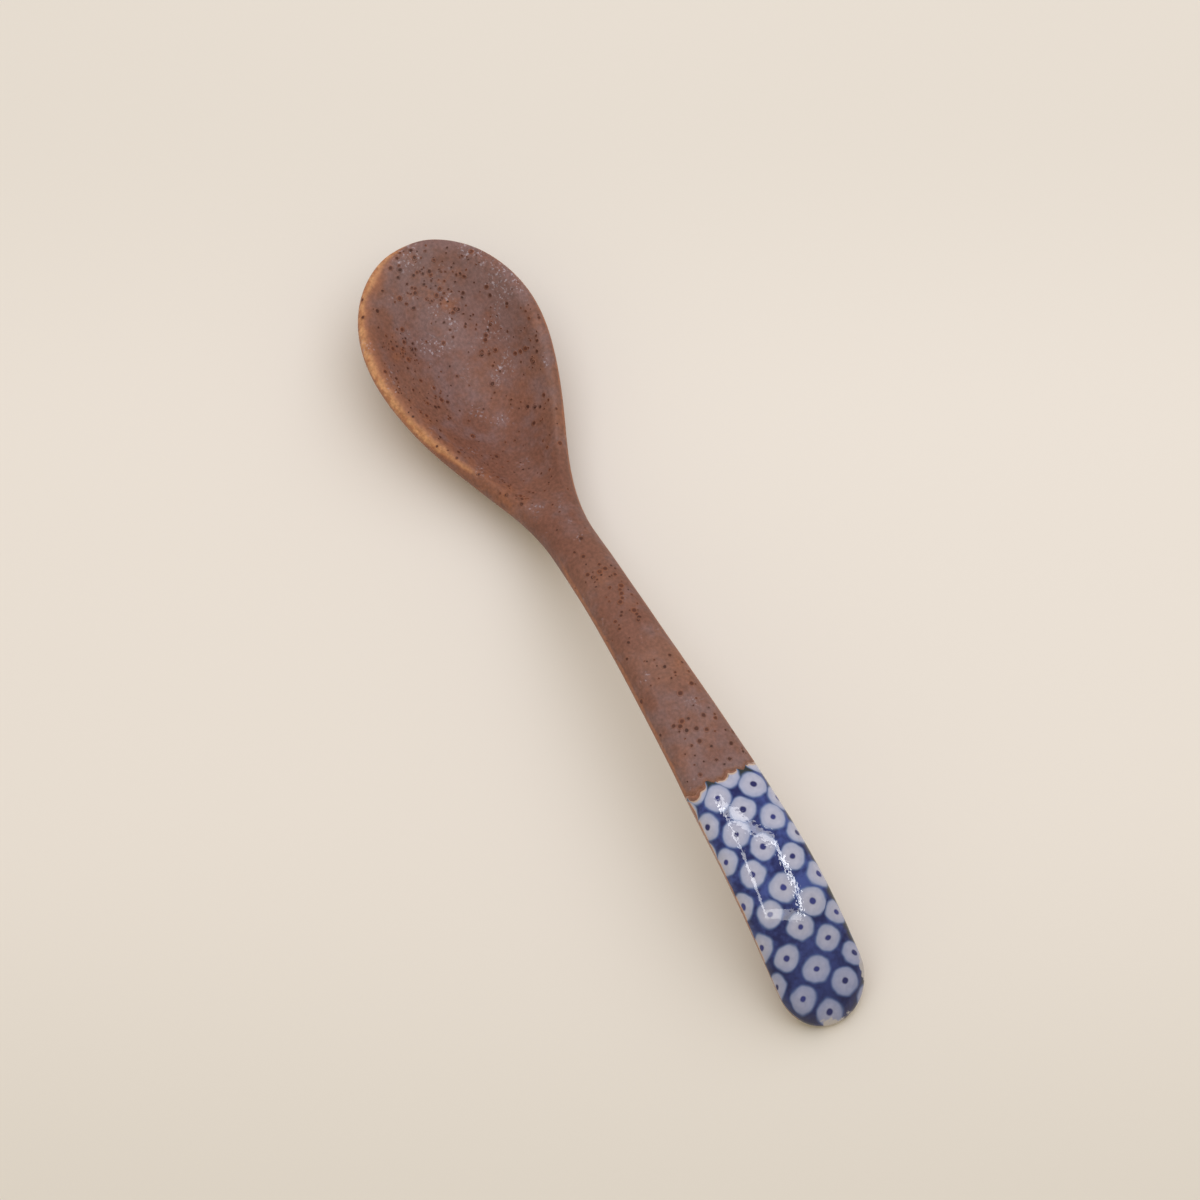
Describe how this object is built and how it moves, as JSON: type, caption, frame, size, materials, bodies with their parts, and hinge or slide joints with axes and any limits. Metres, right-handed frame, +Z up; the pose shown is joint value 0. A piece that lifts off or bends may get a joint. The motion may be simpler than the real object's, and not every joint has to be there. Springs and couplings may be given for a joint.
{
  "type": "ceramic spoon",
  "caption": "Small ceramic spoon with an egg-shaped bowl, an arched stem and a printed, clear-glazed handle end, for stirring, scooping and eating.",
  "frame": {"origin": "centre of the box round the spoon, at the level of the table it rests on", "axes": "+X along the spoon towards the tip of the bowl, +Z up out of the bowl, the two sides alike about y = 0"},
  "size_m": [0.134, 0.0272, 0.0186],
  "materials": {
    "fired_clay": "fired, matt, hidden under the glazes",
    "brown_matt_glaze": "matt iron glaze with dark specks, breaking to tan on the edges",
    "blue_white_print": "blue and white under-glaze print of dots in rounded squares",
    "clear_gloss_glaze": "clear gloss glaze"
  },
  "bodies": {
    "root": {"clay_body": "fired_clay", "brown_glaze": "brown_matt_glaze", "print_film": "blue_white_print", "clear_glaze": "clear_gloss_glaze"}
  },
  "joints": []
}
